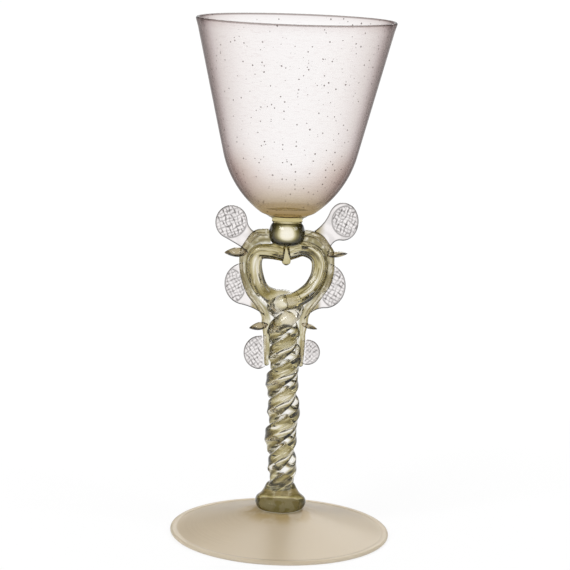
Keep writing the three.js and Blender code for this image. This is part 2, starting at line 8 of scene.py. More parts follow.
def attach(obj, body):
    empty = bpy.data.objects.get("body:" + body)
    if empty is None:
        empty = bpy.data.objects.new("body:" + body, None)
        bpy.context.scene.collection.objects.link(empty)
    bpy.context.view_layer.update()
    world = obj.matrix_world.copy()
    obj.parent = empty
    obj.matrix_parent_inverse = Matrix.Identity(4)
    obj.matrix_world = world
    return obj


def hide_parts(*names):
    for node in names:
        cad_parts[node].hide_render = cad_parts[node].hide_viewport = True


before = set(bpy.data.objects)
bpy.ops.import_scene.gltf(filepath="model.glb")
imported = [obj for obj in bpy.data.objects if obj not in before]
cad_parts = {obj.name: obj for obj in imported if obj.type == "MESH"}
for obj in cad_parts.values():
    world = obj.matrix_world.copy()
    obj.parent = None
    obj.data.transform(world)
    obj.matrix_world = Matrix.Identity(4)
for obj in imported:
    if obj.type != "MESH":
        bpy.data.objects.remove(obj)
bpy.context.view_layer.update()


# The table and the light. The goblet stands on a plain pale table that runs out to white, under
# wide soft lamps. The room is white low down, dark above that and pale again overhead, which
# draws some of the dark lines in the glass from every side. The rest is painted shade in each
# glass's colour, darker where the glass is seen edge on.
class Wire:
    """A socket in a node tree. Arithmetic on it adds Math nodes."""

    def __init__(self, tree, socket=None):
        self.tree = tree
        self.socket = socket

    def node(self, kind, settings=None, inputs=None, out=0):
        made = self.tree.nodes.new(kind)
        for name, value in (settings or {}).items():
            if name == "stops":
                ramp = made.color_ramp
                while len(ramp.elements) < len(value):
                    ramp.elements.new(0.5)
                for element, (place, colour) in zip(ramp.elements, value):
                    element.position = place
                    element.color = (*colour, 1)
            else:
                setattr(made, name, value)
        for name, value in (inputs or {}).items():
            if isinstance(value, Wire):
                self.tree.links.new(value.socket, made.inputs[name])
            else:
                made.inputs[name].default_value = value
        return Wire(self.tree, made.outputs[out] if made.outputs else None)

    def maths(self, operation, first, second):
        return self.node("ShaderNodeMath", {"operation": operation}, {0: first, 1: second})

    def __add__(self, other):
        return self.maths("ADD", self, other)

    def __sub__(self, other):
        return self.maths("SUBTRACT", self, other)

    def __rsub__(self, other):
        return self.maths("SUBTRACT", other, self)

    def __mul__(self, other):
        return self.maths("MULTIPLY", self, other)

    def __pow__(self, other):
        return self.maths("POWER", self, other)

    def __rpow__(self, other):
        return self.maths("POWER", other, self)

    __radd__ = __add__
    __rmul__ = __mul__

    def at_least(self, other):
        return self.maths("MAXIMUM", self, other)

    def between(self, low, high, interpolation="SMOOTHSTEP"):
        """0 at `low` and 1 at `high`."""
        settings = {"interpolation_type": interpolation}
        return self.node("ShaderNodeMapRange", settings, {0: self, 1: low, 2: high})

    def between_mm(self, low, high, interpolation="SMOOTHSTEP"):
        """The same for a length, with `low` and `high` in millimetres."""
        return self.between(low / 1000, high / 1000, interpolation)

    def blend(self, low, high):
        """A colour mixed from `low` to `high` by this wire."""
        return self.node("ShaderNodeMix", {"data_type": "RGBA"}, {0: self, 6: low, 7: high}, 2)

    def ramp(self, stops):
        """The colour that a ramp has at this wire's value."""
        return self.node("ShaderNodeValToRGB", {"stops": stops}, {0: self})

    def place(self):
        """Where a point of the piece is, in metres."""
        return self.node("ShaderNodeTexCoord", out=3)

    def upward(self):
        """The upward part of this place or direction."""
        return self.node("ShaderNodeSeparateXYZ", inputs={0: self}, out=2)

    def length(self):
        return self.node("ShaderNodeVectorMath", {"operation": "LENGTH"}, {0: self}, 1)

    def also(self, output):
        """Another output of the node that this wire comes from."""
        return Wire(self.tree, self.socket.node.outputs[output])

    def feed(self, shader, name):
        self.tree.links.new(self.socket, shader.inputs[name])


table_reach = 5.0
table_corners = 64
table_material = bpy.data.materials.new("pale_table")
table_material.use_nodes = True
table_material.node_tree.nodes.clear()
table = Wire(table_material.node_tree)
camera_ray = table.node("ShaderNodeLightPath")
seen = camera_ray.at_least(camera_ray.also("Is Glossy Ray"))
seen = seen.at_least(camera_ray.also("Is Transmission Ray"))
plain = table.place().length().between_mm(50, 260) * 0.20 + 0.80
lit = table.node("ShaderNodeBsdfDiffuse", inputs={0: (0.82, 0.82, 0.82, 1)})
glow = table.node("ShaderNodeEmission", inputs={0: (1, 1, 1, 1), 1: 1.02})
tabletop = table.node("ShaderNodeMixShader", inputs={0: seen * plain, 1: lit, 2: glow})
table.node("ShaderNodeOutputMaterial", inputs={0: tabletop})

corner_angles = [i * math.tau / table_corners for i in range(table_corners)]
table_edge = [(table_reach * math.cos(a), table_reach * math.sin(a), 0) for a in corner_angles]
table_mesh = bpy.data.meshes.new("tabletop")
table_mesh.from_pydata(table_edge, [], [range(table_corners)])
tabletop_object = bpy.data.objects.new("tabletop", table_mesh)
table_mesh.materials.append(table_material)
bpy.context.collection.objects.link(tabletop_object)

room = bpy.data.worlds.new("room")
bpy.context.scene.world = room
room.use_nodes = True
room.node_tree.nodes.clear()
air = Wire(room.node_tree)
looked_at = air.node("ShaderNodeLightPath")
white, dark, pale = (1, 1, 1), (0.08, 0.08, 0.08), (0.9, 0.9, 0.9)
room_stops = [(0.0, white), (0.10, white), (0.22, dark), (0.66, dark), (0.74, pale), (1.0, pale)]
room_colour = air.node("ShaderNodeTexCoord").upward().at_least(0.0).ramp(room_stops)
white_or_room = looked_at.blend(room_colour, (1, 1, 1, 1))
sky = air.node("ShaderNodeBackground", inputs={0: white_or_room, 1: 1.0})
air.node("ShaderNodeOutputWorld", inputs={0: sky})

lamp_aim = Vector((0, 0, 0.09))
for lamp_name, place, size, power in (
    ("left_soft_lamp", (-0.9, -0.9, 1.0), 0.7, 13.0),
    ("right_soft_lamp", (1.1, -0.5, 0.8), 0.6, 6.0),
    ("back_soft_lamp", (0.2, 1.3, 0.9), 0.9, 9.0),
):
    lamp = bpy.data.lights.new(lamp_name, "AREA")
    lamp.size = size
    lamp.energy = power
    lamp_object = bpy.data.objects.new(lamp_name, lamp)
    lamp_object.location = place
    lamp_object.rotation_euler = (lamp_aim - Vector(place)).to_track_quat("-Z", "Y").to_euler()
    lamp_object.visible_camera = False
    lamp_object.visible_transmission = False
    bpy.context.collection.objects.link(lamp_object)

sensor_width = 36
photo_width_pixels = 570
focal_length_pixels = 2092
camera_tilt = math.radians(10.397)
camera_roll = math.radians(1.923)
camera = bpy.data.cameras.new("photo_camera")
camera.sensor_width = sensor_width
camera.lens = sensor_width * focal_length_pixels / photo_width_pixels
camera.clip_end = 20
camera_object = bpy.data.objects.new("photo_camera", camera)
looking_down = Matrix.Rotation(math.pi / 2 - camera_tilt, 4, "X")
rolled = Matrix.Rotation(camera_roll, 4, "Z")
camera_object.rotation_euler = (looking_down @ rolled).to_euler()
camera_object.location = (-0.000781, -0.6663, 0.2054)
bpy.context.collection.objects.link(camera_object)
bpy.context.scene.camera = camera_object
bpy.context.scene.view_settings.view_transform = "Standard"


# Foot: a shallow cone of clear glass with a warm beige tint, spun out hot, its edge folded
# over into a thick rim. It is slightly hollow underneath, rests on the ring under the fold and
# has the rough scar where the iron rod held it.
foot_radius = 36.0
foot_rise = 8.4
foot_seat_radius = 7.4
foot_glass = 1.8
foot_rim_height = 1.4
foot_fold_width = 3.4
resting_ring_width = 2.4
scar_radius = 3.4
scar_bulge = 0.5
join_gap = 0.3


def add_glass_mesh(name, points, faces):
    """A smooth mesh from points in millimetres."""
    mesh = bpy.data.meshes.new(name)
    mesh.from_pydata([tuple(point / 1000) for point in points], [], faces)
    mesh.polygons.foreach_set("use_smooth", [True] * len(mesh.polygons))
    piece = bpy.data.objects.new(name, mesh)
    bpy.context.collection.objects.link(piece)
    return piece


def flowing(profile, steps):
    """Points on a smooth line through the points of a profile."""
    line = []
    last = len(profile) - 1
    for i in range(last):
        before, start = profile[max(i - 1, 0)], profile[i]
        end, after = profile[i + 1], profile[min(i + 2, last)]
        for k in range(steps):
            t = k / steps
            point = []
            for p, q, r, s in zip(before, start, end, after):
                square = 2 * p - 5 * q + 4 * r - s
                cubic = 3 * q - p - 3 * r + s
                point.append((2 * q + (r - p) * t + square * t**2 + cubic * t**3) / 2)
            line.append(tuple(point))
    return line + [tuple(profile[last])]


def faces_over(ring_count, sides):
    """Faces over rings of points and over both ends, whose middles are the last two points."""
    faces = []
    for i in range(ring_count - 1):
        for k in range(sides):
            a = i * sides + k
            b = i * sides + (k + 1) % sides
            faces.append((a, b, b + sides, a + sides))
    centre = ring_count * sides
    last = centre - sides
    faces += [((k + 1) % sides, k, centre) for k in range(sides)]
    faces += [(last + k, last + (k + 1) % sides, centre + 1) for k in range(sides)]
    return faces


def turn_profile(name, profile, sides, axis_x=lambda z: 0.0, wobble=0.0, seed=0):
    """A closed shape turned about the z axis, from a profile that starts and ends on it.

    `wobble` is how far the hand-worked skin strays from a true round, in millimetres."""
    points = []
    for radius, z in profile[1:-1]:
        for k in range(sides):
            angle = math.tau * k / sides
            out = Vector((math.cos(angle), math.sin(angle), 0))
            place = out * radius + Vector((0, 0, z))
            stray = wobble * noise.noise(place * 0.16 + Vector((seed, 0, 0))) * min(radius / 3, 1)
            points.append(out * (radius + stray) + Vector((axis_x(z), 0, z)))
    for radius, z in (profile[0], profile[-1]):
        points.append(Vector((axis_x(z), 0, z)))
    return add_glass_mesh(name, points, faces_over(len(profile) - 2, sides))


def new_glass(name, absorbed, tint_stops, bends=1.45, roughness=0.02, clear=1.0, coat=0.0):
    """Clear glass. `absorbed` is the share of red, green and blue lost in each millimetre and
    `tint_stops` the tint from where it is seen face on to where it is seen edge on. The darkening
    towards edge on is painted shade, for the dark room seen through the glass's edges."""
    material = bpy.data.materials.new(name)
    material.use_nodes = True
    tree = material.node_tree
    surface = tree.nodes["Principled BSDF"]
    surface.inputs["Transmission Weight"].default_value = clear
    surface.inputs["Roughness"].default_value = roughness
    surface.inputs["IOR"].default_value = bends
    surface.inputs["Coat Weight"].default_value = coat
    surface.inputs["Coat Roughness"].default_value = 0.3
    headroom = 1.15
    density = headroom * 1000 * max(absorbed)
    body = tree.nodes.new("ShaderNodeVolumeAbsorption")
    body.inputs["Color"].default_value = (*(1 - 1000 * share / density for share in absorbed), 1)
    body.inputs["Density"].default_value = density
    tree.links.new(body.outputs[0], tree.nodes["Material Output"].inputs["Volume"])
    # The tint by how edge on the glass is seen; its dark end is painted shade.
    tint = Wire(tree).node("ShaderNodeLayerWeight", out=1).ramp(tint_stops)
    return material, surface, tint


def tinted(colour, tint, share=1.0):
    """A colour times another one, as far as `share` says."""
    settings = {"data_type": "RGBA", "blend_type": "MULTIPLY"}
    return colour.node("ShaderNodeMix", settings, {0: share, 6: colour, 7: tint}, 2)


def stretched(place, by):
    """A place with each of its three parts made longer or shorter."""
    return place.node("ShaderNodeVectorMath", {"operation": "MULTIPLY"}, {0: place, 1: by})


def cloudy(place, scale, detail=2.0):
    """Soft noise over a piece."""
    return place.node("ShaderNodeTexNoise", inputs={"Vector": place, "Scale": scale, "Detail": detail})


def bumps(height, strength, distance):
    """A skin that rises and falls with a height."""
    inputs = {"Strength": strength, "Distance": distance, "Height": height}
    return height.node("ShaderNodeBump", inputs=inputs)


def scattered_dots(place, scale, rarity, size, softness):
    """1 in small round dots, which are fewer where `rarity` is higher."""
    cells = place.node("ShaderNodeTexVoronoi", inputs={"Vector": place, "Scale": scale})
    chance = place.node("ShaderNodeSeparateColor", inputs={0: cells.also("Color")})
    return (chance**rarity * size - cells).between(0.0, softness)


def settle(piece, material, node):
    """Gives a piece its glass and puts it in the place of its plain CAD node."""
    piece.data.materials.append(material)
    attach(piece, "root")
    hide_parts(node)


rim_round = foot_rim_height / 2
fold_inner = foot_radius - foot_fold_width
ring_inner = foot_radius - rim_round - resting_ring_width
foot_slope = (foot_rise - foot_rim_height) / (fold_inner - foot_seat_radius)
hollow_z = foot_rise - foot_glass
rim_turn = [
    (foot_radius - rim_round + rim_round * math.cos(a), rim_round + rim_round * math.sin(a))
    for a in (math.radians(-90 + 18 * i) for i in range(11))
]
hollow_side = [
    (0, hollow_z - scar_bulge),
    (scar_radius - 0.8, hollow_z - scar_bulge + 0.05),
    (scar_radius, hollow_z - 0.05),
    (6, hollow_z),
]
under_side = [
    (8, hollow_z - 0.35),
    (ring_inner - 10, foot_rim_height - foot_glass + foot_slope * 10 + 0.25),
    (ring_inner - 1.6, foot_rim_height - foot_glass + foot_slope * 1.6 + 0.55),
    (ring_inner - 0.4, 0.25),
]
upper_side = [
    (fold_inner + 1.4, foot_rim_height - 0.05),
    (fold_inner, foot_rim_height + 0.12),
    ((fold_inner + foot_seat_radius) / 2, foot_rim_height + 0.46 * (foot_rise - foot_rim_height)),
    (foot_seat_radius + 3, foot_rise - 1.0),
    (foot_seat_radius + 0.6, foot_rise - 0.1),
    (foot_seat_radius - 1, foot_rise),
]
foot_profile = [*flowing(hollow_side, 4), *flowing(under_side, 8), (ring_inner, 0.05)]
foot_profile += [(ring_inner + 0.25, 0), *rim_turn, *flowing(upper_side, 6), (0, foot_rise)]
foot = turn_profile("foot", foot_profile, 144)
foot_stops = [(0.0, (0.68, 0.585, 0.445)), (0.8, (0.64, 0.545, 0.40)), (1.0, (0.46, 0.38, 0.27))]
foot_look, foot_surface, foot_tint = new_glass(
    "beige_foot_glass", (0.020, 0.030, 0.048), foot_stops, 1.16, roughness=0.4, clear=0.5, coat=0.3
)
settle(foot, foot_look, "foot")

browning_reach = 15.0
browning_full = 8.5
seat_tint_edge = 7.6
seat_tint_full = 6.4
foot_place = foot_tint.place()
flat_place = stretched(foot_place, (1, 1, 0))
from_middle = flat_place.length()
# The foot is browner in cloudy patches within 15 mm of its middle, round the knop's base.
browner_near_knop = from_middle.between_mm(browning_reach, browning_full) * cloudy(foot_place, 210.0).between(0.38, 0.60)
foot_colour = tinted(foot_tint, (0.78, 0.68, 0.42, 1), browner_near_knop)
specked = scattered_dots(flat_place, 150.0, rarity=20, size=0.12, softness=0.03)
foot_colour = tinted(foot_colour, (0.35, 0.25, 0.16, 1), specked)
under_knop = from_middle.between_mm(seat_tint_edge, seat_tint_full)
under_knop.blend(foot_colour, (0.97, 0.95, 0.88, 1)).feed(foot_surface, "Base Color")
rings_apart = {"W": from_middle * 900, "Scale": 1.0}
spun = foot_tint.node("ShaderNodeTexNoise", {"noise_dimensions": "1D"}, rings_apart)
foot_skin = spun * 0.4 + cloudy(foot_place, 160.0, 1.0)
bumps(foot_skin, strength=0.12, distance=0.0006).feed(foot_surface, "Normal")


# Base knop: a gather of olive glass that joins foot and stem, squeezed to a flat bead with the
# jacks and drawn up in a flare around the foot of the twisted cords.
base_knop_radius = 8.4
base_knop_height = 8.2
base_knop_belly = 2.2
base_knop_neck_radius = 5.3
rope_foot_radius = 4.75
stem_lean = -0.75
collar_z = 103.955
fused_reach = 0.35

base_knop_z = foot_rise + join_gap
belly_z = base_knop_z + base_knop_belly
base_knop_top = base_knop_z + base_knop_height


def stem_axis(z):
    """The stem leans in a straight line from the base knop to the neck."""
    return stem_lean * (z - base_knop_z) / (collar_z - base_knop_z)


def fused_joints(tint, steepness=0.90):
    """Takes the tint off the level faces where two gathers are fused, which show no edge."""
    up = tint.node("ShaderNodeNewGeometry", out=1).upward()
    level = tint.maths("ABSOLUTE", up, 0.0).between(steepness, steepness + 0.08)
    return level.blend(tint, (1, 1, 1, 1))


base_knop_stops = [
    (0.0, (0.97, 0.93, 0.72)),
    (0.30, (0.90, 0.85, 0.60)),
    (0.60, (0.66, 0.59, 0.33)),
    (0.85, (0.32, 0.27, 0.11)),
    (1.0, (0.12, 0.10, 0.04)),
]
base_knop_glass, base_knop_surface, base_knop_tint = new_glass(
    "deep_base_knop_glass", (0.002, 0.003, 0.006), base_knop_stops, 1.2, clear=0.85, coat=0.15
)
base_knop_place = base_knop_tint.place()
mottled = cloudy(base_knop_place, 380.0).between(0.44, 0.58)
base_knop_tint = tinted(base_knop_tint, (0.56, 0.52, 0.34, 1), mottled)
knop_up = base_knop_place.upward()
over_belly = knop_up.between_mm(base_knop_z - 0.3, base_knop_z + 0.3)
over_belly *= knop_up.between_mm(base_knop_top + 0.1, belly_z + 2.1)
base_knop_tint = tinted(base_knop_tint, (0.50, 0.46, 0.30, 1), over_belly)
fused_joints(base_knop_tint).feed(base_knop_surface, "Base Color")
base_knop_side = [
    (foot_seat_radius - 1.2, base_knop_z - fused_reach),
    (base_knop_radius - 0.7, base_knop_z + 0.35),
    (base_knop_radius, belly_z - 0.3),
    (base_knop_radius - 0.3, belly_z + 1),
    (base_knop_radius - 1.3, belly_z + 1.9),
    (base_knop_neck_radius + 0.85, belly_z + 2.8),
    (base_knop_neck_radius, belly_z + 4.1),
    (base_knop_neck_radius - 0.35, base_knop_top - 1.1),
    (rope_foot_radius - 0.15, base_knop_top - 0.4),
    (rope_foot_radius - 0.5, base_knop_top),
]
base_knop_profile = [(0, base_knop_z - fused_reach), *flowing(base_knop_side, 5), (0, base_knop_top + 0.1)]
base_knop = turn_profile("base_knop", base_knop_profile, 72, wobble=0.35, seed=4)
settle(base_knop, base_knop_glass, "base_knop")


# The two cords of the stem: ribbed canes of olive glass, twisted together while soft so that
# each is pressed to a half round, then drawn apart and bent over into the arms of the heart.
# The right cord is the leaner one and crosses in front.
strand_z = base_knop_top - 1.6
strand_radius = 2.7
rope_radius = 5.45
strand_unevenness = 0.35
strand_ring_spacing = 0.4
rope_core_radius = 2.5
rope_spread = 1
spread_turns = 0.6
rope_turns = 3.31
rope_lay = 20.1
lay_tightening = 0.55
groove_sharpness = 2.2
split_overlap = 0.4
lobe_sag = 0.75
heart_half_width = 10.6
heart_height = 18.3
crossing_depth = 4.15
rib_count = 8
rib_depth = 0.3
rope_rib_depth = 0.04
rib_twist_turns = 0.6
rope_colour_depth = 0.32
arm_colour_depth = {-1: 0.38, 1: 0.18}
# Where the inner edge of the left and the right arm carries its painted dark line and painted
# bright streak, in shares of the heart's height.
inner_edge_heights = {-1: (0.30, 0.42, 0.85, 0.97), 1: (0.15, 0.30, 0.55, 0.75)}


def rope_height(turns):
    """How high the twist has climbed after some turns. Its lay tightens upwards."""
    return strand_z + rope_lay * turns - lay_tightening * turns * turns


heart_z = rope_height(rope_turns)
bar_z = heart_z + heart_height
# Way points of the arms as shares of the heart: across from the axis, deep from it, and up.
right_arm = [
    (-0.05, 1.17, 0.132),
    (0.25, 1.08, 0.17),
    (0.54, 0.72, 0.25),
    (0.79, 0.2, 0.36),
    (0.96, 0, 0.52),
    (1.03, 0, 0.68),
    (1.02, 0, 0.85),
    (0.9, 0, 0.975),
    (0.68, 0, 1.05),
    (0.45, 0, 1.07),
    (0.22, 0, 1.02),
    (0.055, 0, 0.985),
]
left_arm = [
    (-0.02, 1.26, 0.11),
    (0.33, 1.28, 0.125),
    (0.6, 0.95, 0.2),
    (0.8, 0.3, 0.345),
    (0.93, 0, 0.55),
    (0.99, 0, 0.75),
    (0.96, 0, 0.88),
    (0.85, 0, 0.98),
    (0.68, 0, 1.0),
    (0.45, 0, 1.0),
    (0.22, 0, 0.985),
    (0.055, 0, 0.97),
]


def ease(value, low, high):
    """0 at `low`, 1 at `high`, smooth in between."""
    share = min(max((value - low) / (high - low), 0.0), 1.0)
    return share * share * (3 - 2 * share)


def curve_through(points):
    """A smooth line through way points; call it with 0 to 1 for a point on it."""

    def at(t):
        place = min(max(t, 0.0), 1.0) * (len(points) - 1)
        i = min(int(place), len(points) - 2)
        share = place - i
        start, end = points[i], points[i + 1]
        before = points[i - 1] if i > 0 else 2 * start - end
        after = points[i + 2] if i + 2 < len(points) else 2 * end - start
        step = (end - start).length ** 0.5
        step_before = (start - before).length ** 0.5 or step
        step_after = (after - end).length ** 0.5 or step
        pace = (end - start) / step
        leave = (start - before) / step_before - (end - before) / (step_before + step) + pace
        arrive = pace - (after - start) / (step + step_after) + (after - end) / step_after
        leave, arrive = leave * step, arrive * step
        cubic = 2 * start - 2 * end + leave + arrive
        square = -3 * start + 3 * end - 2 * leave - arrive
        return start + leave * share + square * share**2 + cubic * share**3

    return at


def evenly_along(curve, spacing):
    """Places on a curve, as (t, point, direction), a fixed spacing apart."""
    samples = 3000
    line = [curve(i / samples) for i in range(samples + 1)]
    reached = [0.0]
    for i in range(samples):
        reached.append(reached[-1] + (line[i + 1] - line[i]).length)
    steps = round(reached[-1] / spacing)
    places = []
    j = 0
    for k in range(steps + 1):
        wanted = reached[-1] * k / steps
        while j < samples - 1 and reached[j + 1] < wanted:
            j += 1
        t = (j + (wanted - reached[j]) / (reached[j + 1] - reached[j])) / samples
        ahead = (curve(t + 1e-4) - curve(t - 1e-4)).normalized()
        places.append((t, curve(t), ahead))
    return places, reached[-1]


def mesh_mark(wire, name):
    """The value of a mark that a mesh carries."""
    return wire.node("ShaderNodeAttribute", {"attribute_name": name}, out=2)


def add_marks(piece, marks):
    """Gives a mesh values from 0 to 1 at each of its points, which its glass reads."""
    for mark, values in marks.items():
        layer = piece.data.attributes.new(mark, "FLOAT", "POINT")
        layer.data.foreach_set("value", values)


def skin_over(name, rings, **marks):
    """A closed skin over rings of points that run anticlockwise about the way they travel."""
    sides = len(rings[0])
    points = [point for ring in rings for point in ring]
    for ring in (rings[0], rings[-1]):
        points.append(sum(ring, Vector()) / sides)
    piece = add_glass_mesh(name, points, faces_over(len(rings), sides))
    add_marks(piece, {mark: [*values, values[0], values[-1]] for mark, values in marks.items()})
    return piece


def strand_way(side):
    """Way points of a cord, each with its facing and how far its section is round."""
    way = []
    steps = round(rope_turns * 10)
    top_facing = 180 if side > 0 else 0
    for i in range(steps + 1):
        turns = rope_turns * i / steps
        facing = top_facing - 360 * (rope_turns - turns)
        angle = math.radians(facing)
        z = rope_height(turns)
        spread = ease(turns, rope_turns - spread_turns, rope_turns)
        reach = rope_core_radius + rope_spread * spread
        middle = Vector((stem_axis(z) + reach * math.cos(angle), reach * math.sin(angle), z))
        way.append((middle, facing, 0.9 * spread))
    for across, deep, up in right_arm if side > 0 else left_arm:
        z = heart_z + heart_height * up
        x = stem_axis(z) + side * heart_half_width * across
        way.append((Vector((x, -side * crossing_depth * deep, z)), top_facing + 90, 1.0))
    return way


def half_round(phi, outer, middle, clearance):
    """From a cord's middle to its skin in the twist, where each cord is a half round."""
    outward = math.cos(phi)
    across = middle * math.sin(phi)
    to_round = math.sqrt(outer * outer - across * across) - middle * outward
    if outward >= 0:
        return to_round
    to_split = (middle - clearance) / -outward
    return (to_round**-groove_sharpness + to_split**-groove_sharpness) ** (-1 / groove_sharpness)


def strand_colour(side, row, phi, ridge, lobe, z, roundness, drawn_out, inner_edge):
    """How dark a cord is at a point of its skin, and how far its colour is lifted towards white: the
    glass's own colour and streaks, with painted shade and painted light.

    `phi` is where the point lies round the cord: 0 faces out of the twist, and from there it
    runs over the lower side of a lobe, or the outer side of an arm of the heart. `lobe` is how
    far the point lies on the outside of the twist."""
    twisted = 1 - roundness
    outward, aside = math.cos(phi), math.sin(phi)
    drawn = Vector((outward * 1.5, aside * 1.5, row * 0.035 + side * 9))
    fine = ease(abs(noise.noise(drawn)), 0.09, 0.02)
    broad = ease(noise.noise(drawn * 0.7 + Vector((5, 0, 0))), -0.1, 0.3)
    streak = max(0.95 * fine, 0.55 * broad) * (0.10 * lobe + drawn_out)
    rib_line = ease(ridge, 0.8, 1.0) * (0.7 * drawn_out + 0.12 * lobe)
    # Painted shade in the groove between the lobes and on the upper side of each lobe, and painted light
    # on the lower side.
    groove = ease(outward, 0.45, 0.0) * (1 - ease(outward, -0.2, -0.4)) * twisted
    loose = noise.noise(Vector((phi * 0.5, row * 0.07, side * 20)))
    upper = ease(aside, 0.20, -0.25) * ease(loose, -0.5, -0.1) * lobe
    lower = ease(aside, 0.0, 0.25) * lobe
    body = rope_colour_depth + (arm_colour_depth[side] - rope_colour_depth) * roundness
    # Along the inner edge of an arm, a painted dark line with a painted bright streak beside it. Painted
    # light where the cords cross under the heart, and painted highlights in eyes over the twist.
    inner_dark = ease(-aside, 0.55, 0.80) * inner_edge
    inner_bright_streak = ease(-aside, -0.15, 0.10) * ease(-aside, 0.60, 0.40) * inner_edge
    crossing = ease(z, heart_z - 5.5, heart_z - 3.5) * ease(z, heart_z + 3, heart_z + 1)
    eye_highlight = ease(noise.noise(drawn * 2.2 + Vector((0, 0, 60 + row * 0.06))), 0.3, 0.45) * twisted
    bright = max(crossing, eye_highlight)
    dark = max(rib_line, streak, 0.75 * groove, 0.72 * upper, body * (1 - lower), 0.9 * inner_dark)
    dark *= (1 - 0.8 * inner_bright_streak) * (1 - 0.8 * bright)
    pale = ease(noise.noise(drawn * 0.8 + Vector((0, 7, 0))), 0.0, 0.25) * roundness
    glint = ease(abs(noise.noise(drawn * 1.3 + Vector((0, 0, 30)))), 0.07, 0.015) * drawn_out
    return dark, max(lower, 0.6 * pale, 0.9 * bright, glint, 0.9 * inner_bright_streak)


def strand_rings(side):
    """Rings of a cord, the marks on its skin and the line of its middle."""
    way = strand_way(side)
    curve = curve_through([stop[0] for stop in way])
    places, length = evenly_along(curve, strand_ring_spacing)
    arm_length = math.pi * heart_half_width * 1.2
    heart_start = 1 - arm_length / length
    sides = 64
    rings = []
    lines = []
    clear_and_lit_values = []
    fused = []
    for row, (t, middle, ahead) in enumerate(places):
        place = t * (len(way) - 1)
        low = min(int(place), len(way) - 2)
        share = place - low
        facing = way[low][1] + (way[low + 1][1] - way[low][1]) * share
        roundness = way[low][2] + (way[low + 1][2] - way[low][2]) * share
        angle = math.radians(facing)
        outward = Vector((math.cos(angle), math.sin(angle), 0))
        around = Vector((-math.sin(angle), math.cos(angle), 0))
        if row == 0:
            ahead = Vector((0, 0, 1))
        face = (outward - ahead * outward.dot(ahead)).normalized()
        edge = ahead.cross(face)
        z = middle.z
        from_axis = math.hypot(middle.x - stem_axis(z), middle.y)
        climb = ease(z, strand_z + 0.2 * rope_lay, strand_z + rope_lay)
        outer = rope_foot_radius + (rope_radius - rope_foot_radius) * climb - side * strand_unevenness
        core = min(from_axis, outer - 1)
        turned = rib_twist_turns * max(0.0, row / (len(places) - 1) - heart_start)
        drawn_out = roundness * ease(z, heart_z + 0.05 * heart_height, heart_z + 0.3 * heart_height)
        start, full, fading, end = inner_edge_heights[side]
        up = (z - heart_z) / heart_height
        inner_edge = ease(up, start, full) * ease(up, end, fading) * roundness * (z > heart_z)
        in_knop = ease(z, base_knop_top + 0.3, base_knop_top - 0.5)
        ring = []
        for k in range(sides):
            phi = math.tau * (k / sides + turned)
            ridge = 0.5 - 0.5 * math.cos(rib_count * math.tau * k / sides)
            lobe = ease(math.cos(phi), -0.1, 0.5) * (1 - roundness)
            pressed = (1 - ease(math.cos(phi), -0.45, -0.15)) * (1 - ease(roundness, 0.3, 0.7))
            fused.append(max(pressed, in_knop))
            dark, clear = strand_colour(side, row, phi, ridge, lobe, z, roundness, drawn_out, inner_edge)
            lines.append(dark)
            clear_and_lit_values.append(clear)
            rib = ridge * (rib_depth * drawn_out + rope_rib_depth * lobe)
            sag = lobe_sag * (ease(math.sin(phi), -0.1, 1.0) + 0.4 * ease(-math.sin(phi), 0.2, 1.0))
            in_twist = half_round(phi, outer - sag, core, -split_overlap) - rib
            in_heart = strand_radius - rib
            flat = outward * (in_twist * math.cos(phi)) + around * (in_twist * math.sin(phi))
            square = face * (in_heart * math.cos(phi)) + edge * (in_heart * math.sin(phi))
            ring.append(middle + flat.lerp(square, roundness))
        rings.append(ring)
    return rings, {"dark_line": lines, "clear_line": clear_and_lit_values, "fused": fused}, curve


olive_stops = [
    (0.0, (0.98, 0.96, 0.88)),
    (0.08, (0.87, 0.82, 0.62)),
    (0.22, (0.47, 0.41, 0.185)),
    (0.40, (0.19, 0.155, 0.05)),
    (0.60, (0.07, 0.055, 0.02)),
    (1.0, (0.02, 0.017, 0.006)),
]
olive_glass, olive_surface, olive_tint = new_glass("olive_stem_glass", (0.004, 0.005, 0.010), olive_stops)
streak_stops = [(0.0, (1, 1, 1)), (0.5, (0.46, 0.40, 0.20)), (1.0, (0.04, 0.03, 0.01))]
# Painted light lifts the cords towards white; painted shade and the glass's streaks darken them.
olive_tint = (mesh_mark(olive_tint, "clear_line") * 0.85).blend(olive_tint, (0.99, 0.965, 0.93, 1))
olive_tint = tinted(olive_tint, mesh_mark(olive_tint, "dark_line").ramp(streak_stops))
mesh_mark(olive_tint, "fused").blend(olive_tint, (1, 1, 1, 1)).feed(olive_surface, "Base Color")
bumps(cloudy(olive_tint.place(), 420.0), strength=0.25, distance=0.0004).feed(olive_surface, "Normal")

arm_curves = {}
for side, name in ((-1, "left_strand"), (1, "right_strand")):
    rings, marks, arm_curves[side] = strand_rings(side)
    settle(skin_over(name, rings, **marks), olive_glass, name)


